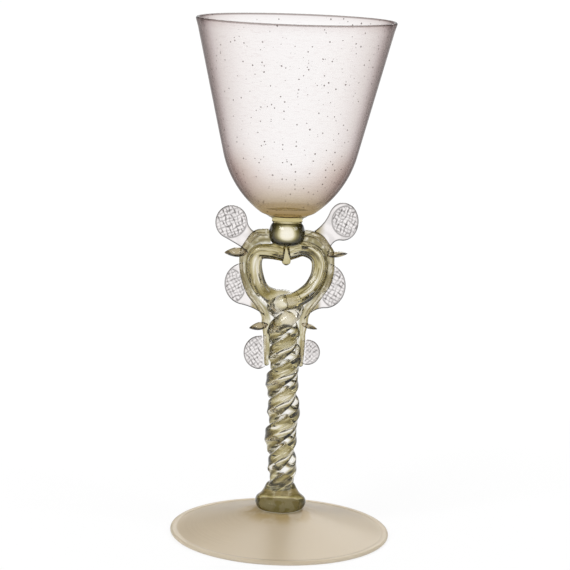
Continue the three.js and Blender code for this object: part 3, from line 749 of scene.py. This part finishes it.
# Cusp drop: a bead of the same glass pressed down between the cords' ends with a pointed tool,
# which makes the cusp of the heart.
knop_saddle = 0.75
knop_z = bar_z + strand_radius + join_gap - knop_saddle
drop_radius = 1.45
drop_length = 7.2
drop_top = knop_z + knop_saddle - join_gap
drop_bottom = drop_top - drop_length
drop_side = [
    (drop_radius * 0.35, drop_bottom + 0.08),
    (drop_radius * 0.9, drop_bottom + 0.75),
    (drop_radius, drop_bottom + 1.6),
    (drop_radius * 0.9, drop_bottom + 3.2),
    (drop_radius * 0.8, drop_top - 1.4),
    (drop_radius * 0.8, drop_top - 0.2),
]
drop_profile = [(0, drop_bottom), *flowing(drop_side, 5), (0, drop_top)]
cusp_drop = turn_profile("cusp_drop", drop_profile, 32, lambda z: stem_axis(drop_bottom))
drop_stops = [
    (0.0, (0.58, 0.52, 0.30)),
    (0.4, (0.44, 0.38, 0.19)),
    (0.75, (0.28, 0.23, 0.10)),
    (1.0, (0.10, 0.08, 0.03)),
]
drop_glass, drop_surface, drop_tint = new_glass(
    "olive_drop_glass", (0.004, 0.005, 0.010), drop_stops, 1.15, coat=0.5
)
in_bar = drop_tint.place().upward().between_mm(drop_bottom + 1.6, drop_bottom + 2.6)
in_bar.blend(drop_tint, (0.60, 0.54, 0.34, 1)).feed(drop_surface, "Base Color")
settle(cusp_drop, drop_glass, "cusp_drop")


# Top knop: a bead of olive glass, dropped hot on the cords' ends and rounded, with a narrow
# neck under the collar. Its dark sides are painted shade, set by how edge on the glass is seen.
knop_radius = 5.95
knop_height = 7.3
knop_foot_radius = 4.1
neck_radius = 4.9
knop_top = knop_z + knop_height
knop_middle = knop_z + knop_height * 0.47
knop_side = [
    (knop_foot_radius - 0.6, knop_z),
    (knop_radius - 1.0, knop_z + 0.8),
    (knop_radius - 0.15, knop_middle - 1.4),
    (knop_radius, knop_middle),
    (knop_radius - 0.25, knop_middle + 1.5),
    (neck_radius + 0.35, knop_top - 0.9),
    (neck_radius - 0.35, knop_top),
]
knop_profile = [(0, knop_z + 0.2), *flowing(knop_side, 6), (0, knop_top + 0.1)]
knop_axis = stem_axis(knop_middle)
top_knop = turn_profile("top_knop", knop_profile, 64, lambda z: knop_axis, wobble=0.12, seed=9)
# Painted shade: the knop turns nearly black soon after it is seen face on.
knop_stops = [
    (0.0, (1.0, 0.98, 0.93)),
    (0.05, (0.95, 0.91, 0.80)),
    (0.10, (0.40, 0.36, 0.18)),
    (0.16, (0.10, 0.085, 0.03)),
    (0.28, (0.015, 0.012, 0.003)),
    (1.0, (0.005, 0.004, 0.001)),
]
knop_glass, knop_surface, knop_tint = new_glass("olive_knop_glass", (0.004, 0.006, 0.014), knop_stops)
fused_joints(knop_tint).feed(knop_surface, "Base Color")
settle(top_knop, knop_glass, "top_knop")


# Collar: a short flared disc of honey-yellow glass between the knop and the bowl, which is how
# such a bowl is carried.
collar_height = 2.1
collar_radius = 6.8
collar_spread = collar_radius - neck_radius
collar_top = collar_z + collar_height
collar_side = [
    (neck_radius - 0.5, collar_z - 0.45),
    (neck_radius + 0.05, collar_z + 0.1),
    (neck_radius, collar_z + collar_height * 0.35),
    (neck_radius + collar_spread * 0.3, collar_z + collar_height * 0.65),
    (neck_radius + collar_spread * 0.75, collar_top - 0.25),
    (collar_radius, collar_top + 0.1),
]
collar_profile = [(0, collar_z - 0.45), *flowing(collar_side, 5), (0, collar_top + 0.15)]
collar_axis = stem_axis(collar_z)
bowl_collar = turn_profile("bowl_collar", collar_profile, 72, lambda z: collar_axis)
honey_stops = [(0.0, (0.60, 0.53, 0.29)), (0.8, (0.57, 0.49, 0.25)), (1.0, (0.40, 0.31, 0.12))]
honey_glass, honey_surface, honey_tint = new_glass(
    "honey_collar_glass", (0.004, 0.006, 0.012), honey_stops, 1.05
)
fused_joints(honey_tint).feed(honey_surface, "Base Color")
settle(bowl_collar, honey_glass, "bowl_collar")


# Bowl: blown thin, of clear glass with a faint pinkish-grey tint, a straight flare that runs
# into a round bottom, with a fire-polished rim. The metal is full of tiny dark seeds.
bowl_depth = 62.5
rim_radius = 31.95
bowl_wall = 1.2
bowl_base = 2.5
bowl_cone_height = 43.0
bowl_flare = math.radians(13.65)
bowl_seat_radius = 7.0
bowl_seat_flare = 1.8
floor_corner_height = 0.3
floor_corner_width = 0.8
rim_offset = 0.15
honey_reach = 13.5
lip_depth = 3.4

bowl_z = collar_top + join_gap
rim_z = bowl_z + bowl_depth
turn_z = rim_z - bowl_cone_height
turn_radius = rim_radius - bowl_cone_height * math.tan(bowl_flare)
lip_z = bowl_z + bowl_seat_flare * 0.36
lip_radius = bowl_seat_radius + bowl_seat_flare
drop, run = turn_z - lip_z, turn_radius - lip_radius
sweep_radius = math.hypot(run, drop) / (2 * math.sin(math.atan2(run, drop) - bowl_flare))
centre_r = turn_radius - sweep_radius * math.cos(bowl_flare)
centre_z = turn_z + sweep_radius * math.sin(bowl_flare)
seat_angle = math.atan2(lip_z - centre_z, lip_radius - centre_r)


def bowl_arc(radius, start, end, steps):
    """Points on the sweep of the bowl's bottom, between two angles."""
    angles = (start + (end - start) * i / steps for i in range(steps + 1))
    return [(centre_r + radius * math.cos(a), centre_z + radius * math.sin(a)) for a in angles]


outside = bowl_arc(sweep_radius, seat_angle, -bowl_flare, 28)
inside = bowl_arc(sweep_radius - bowl_wall, -bowl_flare, seat_angle, 28)
floor_z = bowl_z + bowl_base
inside = [(radius, z) for radius, z in inside if z > floor_z + floor_corner_height]
floor_radius = inside[-1][0] - floor_corner_width
straight = [i / 14 for i in range(1, 14)]
flare_run, flare_rise = rim_radius - turn_radius, rim_z - turn_z
lip_round = bowl_wall / 2
lip_turn = [
    (rim_radius - lip_round + lip_round * math.cos(a), rim_z - lip_round + lip_round * math.sin(a))
    for a in (math.radians(22.5 * i) for i in range(9))
]
outer_profile = [
    (0, bowl_z - fused_reach),
    (bowl_seat_radius - 0.7, bowl_z - fused_reach),
    (bowl_seat_radius - 0.1, bowl_z - 0.2),
    (bowl_seat_radius + 0.4, bowl_z + 0.03),
    (bowl_seat_radius + 1.0, bowl_z + 0.3),
    *outside,
    *[(turn_radius + flare_run * s, turn_z + flare_rise * s) for s in straight],
    *lip_turn,
]
inner_profile = [
    *[(rim_radius - flare_run * s - bowl_wall, rim_z - flare_rise * s) for s in straight],
    *inside,
    (floor_radius + 0.45, floor_z + 0.12),
    (floor_radius, floor_z + 0.02),
    (floor_radius * 0.5, floor_z),
    (0, floor_z),
]


def bowl_axis(z):
    """The bowl leans a little the other way than the stem, so that its rim is near the middle."""
    seat_x = stem_axis(bowl_z)
    return seat_x + (rim_offset - seat_x) * (z - bowl_z) / bowl_depth


bowl_sides = 160
bowl = turn_profile("bowl", outer_profile + inner_profile, bowl_sides, bowl_axis)
outer_points = (len(outer_profile) - 1) * bowl_sides
inner_points = (len(inner_profile) - 1) * bowl_sides
add_marks(bowl, {"inner_wall": [0.0] * outer_points + [1.0] * inner_points + [0.0, 1.0]})
bowl_stops = [
    (0.0, (0.955, 0.938, 0.935)),
    (0.20, (0.93, 0.90, 0.89)),
    (0.28, (0.88, 0.84, 0.83)),
    (0.36, (0.83, 0.785, 0.77)),
    (0.44, (0.78, 0.73, 0.71)),
    (0.51, (0.69, 0.63, 0.62)),
    (0.58, (0.53, 0.47, 0.455)),
    (0.635, (0.42, 0.36, 0.35)),
    (0.70, (0.25, 0.21, 0.20)),
    (0.78, (0.13, 0.105, 0.10)),
    (0.90, (0.14, 0.11, 0.105)),
    (1.0, (0.12, 0.095, 0.09)),
]
bowl_glass, bowl_surface, bowl_tint = new_glass(
    "pinkish_bowl_glass", (0.004, 0.006, 0.006), bowl_stops, 1.03, roughness=0.06, coat=0.04
)
settle(bowl, bowl_glass, "bowl")

bowl_place = bowl_tint.place()
bowl_up = bowl_place.upward()
# Painted shade by how edge on the walls are seen: a lighter ramp on the inner wall, and a deeper one low
# on the bowl.
wall_facing = bowl_tint.node("ShaderNodeLayerWeight", out=1)
inner_wall = mesh_mark(bowl_tint, "inner_wall")
inner_stops = [
    (0.0, (0.99, 0.985, 0.985)),
    (0.40, (0.95, 0.94, 0.935)),
    (0.60, (0.88, 0.86, 0.855)),
    (0.75, (0.81, 0.79, 0.785)),
    (1.0, (0.79, 0.76, 0.75)),
]
bowl_tint = fused_joints(inner_wall.blend(bowl_tint, wall_facing.ramp(inner_stops)), 0.76)
low_stops = [(0.05, (1, 1, 1)), (0.35, (0.90, 0.86, 0.83)), (0.65, (0.78, 0.72, 0.69))]
shade_foot, shade_full, shade_top = bowl_z + 3, bowl_z + 12, bowl_z + 24
low_part = bowl_up.between_mm(shade_top, shade_full) * bowl_up.between_mm(shade_foot, shade_full)
bowl_tint = tinted(bowl_tint, wall_facing.ramp(low_stops), low_part)
near_base = bowl_up.between_mm(bowl_z + 6, bowl_z + 0.5)
bowl_tint = near_base.blend(bowl_tint, (0.93, 0.91, 0.88, 1))
thick_base_stops = [
    (0.0, (0.38, 0.28, 0.12)),
    (0.10, (0.38, 0.28, 0.14)),
    (0.21, (0.52, 0.44, 0.30)),
    (0.30, (0.63, 0.55, 0.42)),
    (0.40, (0.71, 0.64, 0.53)),
    (0.62, (0.87, 0.84, 0.80)),
    (0.80, (0.97, 0.96, 0.96)),
    (1.0, (1, 1, 1)),
]
base_tint = bowl_up.between_mm(bowl_z, bowl_z + honey_reach, "LINEAR").ramp(thick_base_stops)
bowl_tint = tinted(bowl_tint, base_tint, 1 - inner_wall)
seeds = scattered_dots(bowl_place, 700.0, rarity=6, size=0.26, softness=0.05)
bowl_tint = tinted(bowl_tint, (0.10, 0.08, 0.075, 1), seeds)
striae = cloudy(stretched(bowl_place, (380, 380, 2600)), 1.0, 1.0)
bowl_tint = tinted(bowl_tint, (0.94, 0.92, 0.92, 1), striae.between(0.60, 0.72))
# A painted dark line along the top of the lip, for the rounded lip seen edge on.
lip_stops = [
    (0.0, (1, 1, 1)),
    (0.5, (0.97, 0.96, 0.96)),
    (0.80, (0.93, 0.91, 0.91)),
    (0.85, (0.50, 0.46, 0.45)),
    (1.0, (0.40, 0.36, 0.35)),
]
lip_tint = bowl_up.between_mm(rim_z - lip_depth, rim_z, "LINEAR").ramp(lip_stops)
tinted(bowl_tint, lip_tint).feed(bowl_surface, "Base Color")


# Wing trails: on each side a rod of pale glass that takes an olive cast from the stem, laid on
# while soft, thick beside the knop and drawn thin over the heart's shoulder, down the outside of
# the arm and along the twist.
trail_root_radius = 2.3
trail_radius = 1.3
trail_tip_radius = 0.85
trail_sink = 0.6
trail_end_depth = 19.6
trail_start_rise = 2.9
trail_ring_spacing = 0.35
web_clear = 1.2
bead_swell = 0.35
bead_reach = 1.5
tag_roots = {-1: (0.973, -0.306), 1: (0.967, -0.276)}


def wing_height(share):
    """A height on a wing: over the twist a share of the heart, under it one of the trails' reach."""
    return heart_z + share * (heart_height if share > 0 else trail_end_depth)


def outer_arm_point(curve, side, z):
    """Where an arm's outer stretch passes a height, and the way out from it."""
    best = None
    for i in range(1001):
        point = curve(i / 1000)
        if point.z > heart_z and side * (point.x - stem_axis(point.z)) > heart_half_width * 0.4:
            if best is None or abs(point.z - z) < best[0]:
                best = (abs(point.z - z), i / 1000, point)
    t, point = best[1:]
    ahead = (curve(t + 1e-4) - curve(t - 1e-4)).normalized()
    outward = Vector((side * abs(ahead.z), 0, -side * ahead.x)).normalized()
    return Vector((point.x, 0, point.z)), outward


def trail_way(side, arm_curve):
    """Way points of a trail, and beside each the middle of what it is laid on."""
    start_z = knop_z + trail_start_rise
    knop_x = stem_axis(start_z)
    shoulder_z = bar_z + strand_radius + trail_root_radius - trail_sink
    way = [
        Vector((knop_x + side * (knop_radius - 0.4), 0, start_z)),
        Vector((knop_x + side * heart_half_width * 0.9, 0, shoulder_z)),
    ]
    laid_on = [
        Vector((knop_x + side * (knop_radius - 1.0), 0, bar_z)),
        Vector((knop_x + side * heart_half_width * 0.75, 0, bar_z)),
    ]
    offset = strand_radius + trail_radius - trail_sink
    for rise in (0.9, 0.72, 0.52, 0.36):
        point, outward = outer_arm_point(arm_curve, side, heart_z + heart_height * rise)
        way.append(point + outward * offset)
        laid_on.append(point)
    on_rope = rope_radius + trail_radius - trail_sink
    for depth, stray in ((0.1, 0.6), (0.4, -0.25), (0.7, -0.4), (1, -0.65)):
        z = heart_z - trail_end_depth * depth
        way.append(Vector((stem_axis(z) + side * (on_rope + stray), 0, z)))
        laid_on.append(Vector((stem_axis(z) + side * rope_core_radius, 0, z)))
    return way, laid_on


def trail_rings(curve, spine, beads):
    """Rings of a trail. Its inner side runs out in a web that is fused to the cord it lies on.

    `beads` are the heights at which a tag was pinched out of it."""
    places, length = evenly_along(curve, trail_ring_spacing)
    sides = 32
    rings = []
    lines = []
    clear_and_lit_values = []
    webs = []
    for i, (t, middle, ahead) in enumerate(places):
        u = i / (len(places) - 1)
        across = Vector((0, 1, 0)).cross(ahead).normalized()
        body = trail_root_radius + (trail_radius - trail_root_radius) * ease(u, 0.08, 0.3)
        body += (trail_tip_radius - body) * ease(u, 0.6, 1.0)
        for bead in beads:
            body += bead_swell * math.exp(-(((middle.z - bead) / bead_reach) ** 2))
        body *= 1 + 0.1 * noise.noise(middle * 0.3)
        to_end = (1 - u) * length
        if to_end < body:
            body *= math.sqrt(max(1 - (1 - to_end / body) ** 2, 0.02))
        inward = spine(t) - middle
        inward -= ahead * inward.dot(ahead)
        web = inward.normalized() * max(body, (inward.length - web_clear) * min(1.0, to_end / 3))
        ring = []
        for k in range(sides):
            phi = math.tau * k / sides
            out = across * (body * math.cos(phi))
            webs.append(0.0)
            if out.dot(inward) > 0:
                out = web * abs(math.cos(phi))
                webs[-1] = abs(math.cos(phi))
            ring.append(middle + out + Vector((0, body * math.sin(phi), 0)))
            drawn = Vector((math.cos(phi) * 2.4, math.sin(phi) * 2.4, i * 0.05))
            lines.append(0.9 * ease(noise.noise(drawn), 0.05, 0.35))
            clear = ease(noise.noise(drawn + Vector((0, 6, 0))), 0.1, 0.4)
            glint = ease(abs(noise.noise(drawn * 0.9 + Vector((0, 0, 30)))), 0.08, 0.02)
            clear_and_lit_values.append(max(0.8 * clear, glint))
        rings.append(ring)
    return rings, {"dark_line": lines, "clear_line": clear_and_lit_values, "web": webs}


trail_stops = [
    (0.0, (0.53, 0.47, 0.30)),
    (0.20, (0.45, 0.40, 0.23)),
    (0.45, (0.29, 0.25, 0.12)),
    (0.75, (0.15, 0.12, 0.05)),
    (1.0, (0.05, 0.04, 0.015)),
]
trail_glass, trail_surface, trail_tint = new_glass(
    "pale_olive_trail_glass", (0.006, 0.010, 0.030), trail_stops, 1.25, coat=0.3
)
web = mesh_mark(trail_tint, "web")
trail_tint = web.between(0.0, 0.25).blend(trail_tint, (0.47, 0.43, 0.25, 1))
over_twist = trail_tint.place().upward().between_mm(heart_z - 3, heart_z + 5)
trail_tint = tinted(trail_tint, (0.62, 0.60, 0.55, 1), over_twist)
trail_tint = mesh_mark(trail_tint, "clear_line").blend(trail_tint, (0.92, 0.90, 0.84, 1))
trail_tint = tinted(trail_tint, (0.40, 0.34, 0.17, 1), mesh_mark(trail_tint, "dark_line"))
web.between(0.35, 0.75).blend(trail_tint, (1, 1, 1, 1)).feed(trail_surface, "Base Color")

trails = {}
for side, name in ((-1, "left_wing_trail"), (1, "right_wing_trail")):
    way, laid_on = trail_way(side, arm_curves[side])
    trails[side] = curve_through(way)
    beads = [wing_height(root) for root in tag_roots[side]]
    rings, marks = trail_rings(trails[side], curve_through(laid_on), beads)
    settle(skin_over(name, rings, **marks), trail_glass, name)


# Winglets: discs pinched flat out of the hot trail with a waffled pincer. The round jaw leaves
# its crossed ridges in the disc; the neck under it stays plain.
disc_radius = 6.0
disc_thickness = 1.4
disc_round = 0.55
disc_mesh_spacing = 0.19
least_gap = 0.12
ridge_relief = 0.16
print_lip = 0.08


def trail_place_at(curve, z):
    """How far along a trail it passes a height, from 0 to 1."""
    return min((i / 1000 for i in range(1001)), key=lambda t: abs(curve(t).z - z))


def bent_line(start, bend, end, steps):
    """Points from one place to just before another, on a curve that is drawn towards `bend`."""
    line = []
    for i in range(steps):
        t = i / steps
        line.append(start * (1 - t) ** 2 + bend * (2 * t * (1 - t)) + end * t**2)
    return line


def thinned(line, end):
    """A line without the points that lie too close to the one before or to its end."""
    kept = [line[0]]
    for point in line[1:]:
        if (point - kept[-1]).length > least_gap and (point - end).length > least_gap:
            kept.append(point)
    return kept + [end]


def disc_outline(side, centre, radii, neck_angles, roots):
    """The edge of a disc, in x and z: its free edge from the upper root round to the lower
    one, and its seat back up along the middle of the trail."""
    middle = Vector((side * heart_half_width * centre[0], wing_height(centre[1])))
    trail = trails[side]
    top_place, low_place = (trail_place_at(trail, wing_height(root)) for root in roots)
    seat = [trail(low_place + (top_place - low_place) * i / 40) for i in range(41)]
    seat = [Vector((point.x, point.z)) for point in seat]
    root_low, root_top = seat[0], seat[-1]
    top_angle, low_angle = (math.radians(a if side > 0 else 180 - a) for a in neck_angles)
    wide, tall = (disc_radius * share for share in radii)
    necks = []
    for angle, root, way in ((top_angle, root_top, side), (low_angle, root_low, -side)):
        off = middle + Vector((wide * math.cos(angle), tall * math.sin(angle)))
        pinch = Vector((-way * math.sin(angle), way * math.cos(angle)))
        necks.append((off, off + pinch * (0.5 * (off - root).length)))
    (off_top, top_bend), (off_low, low_bend) = necks
    line = bent_line(root_top, top_bend, off_top, 24)
    sweep = (low_angle - top_angle) % math.tau
    if side > 0:
        sweep -= math.tau
    for i in range(96):
        a = top_angle + sweep * i / 96
        line.append(middle + Vector((wide * math.cos(a), tall * math.sin(a))))
    line += bent_line(off_low, low_bend, root_low, 24)
    free = thinned(line, root_low)
    seated = thinned(seat, root_top)
    return free, seated, middle, (root_top.x + root_low.x) / 2


def inside_outline(point, outline):
    """Whether a point lies inside a closed outline."""
    crossed = False
    for a, b in zip(outline, outline[1:] + outline[:1]):
        if (a.y > point.y) != (b.y > point.y):
            if point.x < a.x + (b.x - a.x) * (point.y - a.y) / (b.y - a.y):
                crossed = not crossed
    return crossed


def distance_to_line(point, line):
    best = math.inf
    for a, b in zip(line, line[1:]):
        along = b - a
        share = min(max((point - a).dot(along) / along.length_squared, 0), 1)
        best = min(best, (a + along * share - point).length)
    return best


def filled(outline):
    """Points inside an outline and on it, and the triangles between them."""
    low_x, high_x = min(p.x for p in outline), max(p.x for p in outline)
    low_z, high_z = min(p.y for p in outline), max(p.y for p in outline)
    closed = outline + outline[:1]
    spacing = disc_mesh_spacing
    points = list(outline)
    for row in range(int((high_z - low_z) / spacing) + 1):
        for column in range(int((high_x - low_x) / spacing) + 1):
            point = Vector((low_x + (column + 0.5 * (row % 2)) * spacing, low_z + row * spacing))
            if inside_outline(point, outline) and distance_to_line(point, closed) > least_gap:
                points.append(point)
    around = list(range(len(outline)))
    border = list(zip(around, around[1:] + around[:1]))
    made = delaunay_2d_cdt(points, border, [around], 1, 1e-6)
    return made[0], made[2]


def ridge_height(from_middle, spot, ridges):
    """The height of the crossed ridges at a place of the print, from 0 to 1.

    `ridges` are the angles of the two sets of ridges and their spacing."""
    crest = 0.0
    for number, angle in enumerate(ridges[:2]):
        across = Vector((math.cos(math.radians(angle)), math.sin(math.radians(angle))))
        stray = noise.noise(spot + Vector((0, number * 5, 0))) * 0.45
        phase = from_middle.dot(across) / ridges[2] + stray
        pressed = 0.45 + 0.55 * ease(noise.noise(spot * 1.6 + Vector((0, 9 + number * 5, 0))), -0.3, 0.3)
        crest = max(crest, ease(abs(phase - round(phase)), 0.16, 0.03) * pressed)
    return crest


def pincered_disc(name, side, centre, radii, neck_angles, roots, turn, imprint, ridges, olive_reach):
    """A flat disc with rounded edges and a waffled imprint on both faces.

    `centre` is the disc's reach and height on its wing, `radii` are shares of a disc's size,
    `neck_angles` where the neck meets it, `roots` the heights of the neck's ends, `turn` its
    swing about the trail, `imprint` the jaw's middle, from the disc's, and its radius, and
    `olive_reach` how far the stem's colour runs into it."""
    free_edge, seat, middle, hinge_x = disc_outline(side, centre, radii, neck_angles, roots)
    flat, triangles = filled(free_edge + seat[1:-1])
    trail_line = [Vector((p.x, p.z)) for p in (trails[side](i / 160) for i in range(161))]
    print_middle = middle + Vector(imprint[:2])
    print_radius = imprint[2]
    heights = []
    marks = {"dark_line": [], "olive_root": [], "fused": []}
    for point in flat:
        edge = distance_to_line(point, free_edge)
        off_trail = min((point - spot).length for spot in trail_line)
        in_trail = ease(distance_to_line(point, seat), 0.0, 0.1)
        free = ease(off_trail, 1.1, 2.0)
        from_print = (point - print_middle).length
        within = ease(from_print, print_radius, print_radius - 0.35) * ease(edge, 0.25, 0.6)
        lip = math.exp(-(((from_print - print_radius) / 0.22) ** 2))
        crest = ridge_height(point - print_middle, Vector((point.x * 0.5, 0, point.y * 0.5)), ridges)
        swell = math.sqrt(max(1 - (1 - min(edge / disc_round, 1)) ** 2, 0))
        relief = ridge_relief * within * (crest - 1) - print_lip * lip * ease(edge, 0.2, 0.7)
        heights.append(max((disc_thickness / 2 + relief) * swell * in_trail, 0.0))
        # A painted dark outline along the free edge, for the rounded edge seen edge on, and soft darker
        # patches over the free part of the disc.
        outer_line = ease(edge, 0.55, 0.2) * free
        soft_dark_patches = 0.16 * ease(noise.noise(Vector((point.x * 0.35, 3, point.y * 0.35))), -0.1, 0.4) * free
        lip_line = 0.8 * lip * ease(edge, 0.3, 0.8) * free
        marks["dark_line"].append(max(within * crest, lip_line, outer_line, soft_dark_patches))
        from_hinge = side * (point.x - hinge_x)
        marks["olive_root"].append(ease(from_hinge, olive_reach, 0.1) * ease(off_trail, 0.6, 1.6))
        marks["fused"].append(ease(off_trail, 1.5, 0.9))
    points = [Vector((p.x, -height, p.y)) for p, height in zip(flat, heights)]
    back = list(range(len(flat)))
    for i, (p, height) in enumerate(zip(flat, heights)):
        if height >= 1e-3:
            back[i] = len(points)
            points.append(Vector((p.x, height, p.y)))
            for values in marks.values():
                values.append(values[i])
    faces = [tuple(face) for face in triangles]
    faces += [tuple(back[i] for i in reversed(face)) for face in triangles]
    swing = Matrix.Rotation(math.radians(turn), 4, "Z")
    hinge = Vector((hinge_x, 0, 0))
    piece = add_glass_mesh(name, [swing @ (point - hinge) + hinge for point in points], faces)
    add_marks(piece, marks)
    return piece


wing_stops = [
    (0.0, (0.93, 0.905, 0.895)),
    (0.3, (0.86, 0.83, 0.82)),
    (0.55, (0.45, 0.42, 0.36)),
    (1.0, (0.08, 0.075, 0.06)),
]
wing_glass, wing_surface, wing_tint = new_glass("clear_wing_glass", (0.020, 0.030, 0.030), wing_stops)
wing_tint = tinted(wing_tint, (0.08, 0.07, 0.065, 1), mesh_mark(wing_tint, "dark_line"))
wing_tint = tinted(wing_tint, (0.46, 0.40, 0.21, 1), mesh_mark(wing_tint, "olive_root"))
mesh_mark(wing_tint, "fused").blend(wing_tint, (1, 1, 1, 1)).feed(wing_surface, "Base Color")

for disc in (
    ("left_top_disc", -1, (1.765, 1.503), (0.865, 0.92), (174, -62), (1.335, 1), 5,
        (-0.3, 0.2, 5.2), (112, 22, 1.15), 4.0),
    ("left_middle_disc", -1, (1.32, 0.395), (1.083, 1.15), (77, -81), (0.787, -0.153), -6,
        (-5.6, -1.0, 5.9), (118, 28, 1.1), 1.5),
    ("left_low_disc", -1, (0.778, -0.775), (0.883, 0.933), (80, -80), (-0.49, -0.985), 4,
        (-0.8, 0, 6.4), (38, 128, 1.1), 0.8),
    ("right_top_disc", 1, (1.63, 1.576), (0.83, 1.035), (158, -95), (1.33, 0.985), -6,
        (1.4, 0.2, 5.0), (66, 160, 1.1), 3.2),
    ("right_middle_disc", 1, (1.17, 0.405), (1.09, 1.225), (72, -90), (0.82, -0.2), 5,
        (4.6, -1.2, 6.2), (64, 152, 1.2), 1.5),
    ("right_low_disc", 1, (0.678, -0.745), (0.695, 0.71), (80, -80), (-0.56, -0.93), -4,
        (0.8, 0, 5.0), (52, 136, 1.0), 0.8),
):
    settle(pincered_disc(*disc), wing_glass, disc[0])


# Tags: small lips of the trail's own glass, pinched out nearly level between the discs, thick at
# the root and thin at the tip.
tag_length = 7.0
tag_width = 4.0
tag_thickness = 2.8
tag_sink = 0.6


def pinched_tag(name, side, number, long, broad, full, rise):
    """A pinched lip. `long`, `broad` and `full` are shares of the sizes above, and `rise` is how
    many degrees it points upwards."""
    length, width, thickness = long * tag_length, broad * tag_width, full * tag_thickness
    start = trails[side](trail_place_at(trails[side], wing_height(tag_roots[side][number])))
    root_place = Vector((start.x, 0, start.z))
    tilt = Matrix.Rotation(math.radians(-rise), 4, "Y")
    steps = 26
    sides = 28
    rings = []
    for i in range(steps + 1):
        u = i / steps
        swell = math.sin(math.pi * min(max(u, 0.012), 0.988)) ** 0.6
        wide = width / 2 * swell * (0.86 + 0.14 * math.cos(math.tau * (u - 0.55)))
        thick = thickness / 2 * swell * (1.12 - 0.45 * u)
        ring = []
        for k in range(sides):
            phi = math.tau * k / sides
            point = tilt @ Vector((length * u - tag_sink, wide * math.cos(phi), thick * math.sin(phi)))
            ring.append(Vector((side * point.x, point.y, point.z)) + root_place)
        rings.append(ring if side > 0 else ring[::-1])
    along = [0.9 * ease(i / steps, 0.1, 0.35) for i in range(steps + 1) for k in range(sides)]
    return skin_over(name, rings, olive_root=along)


for tag in (
    ("left_upper_tag", -1, 0, 1.06, 1.2, 1.25, -4),
    ("left_lower_tag", -1, 1, 0.88, 1.0, 1.02, -13),
    ("right_upper_tag", 1, 0, 0.95, 0.9, 0.78, 6),
    ("right_lower_tag", 1, 1, 0.77, 0.75, 0.66, -18),
):
    settle(pinched_tag(*tag), wing_glass, tag[0])
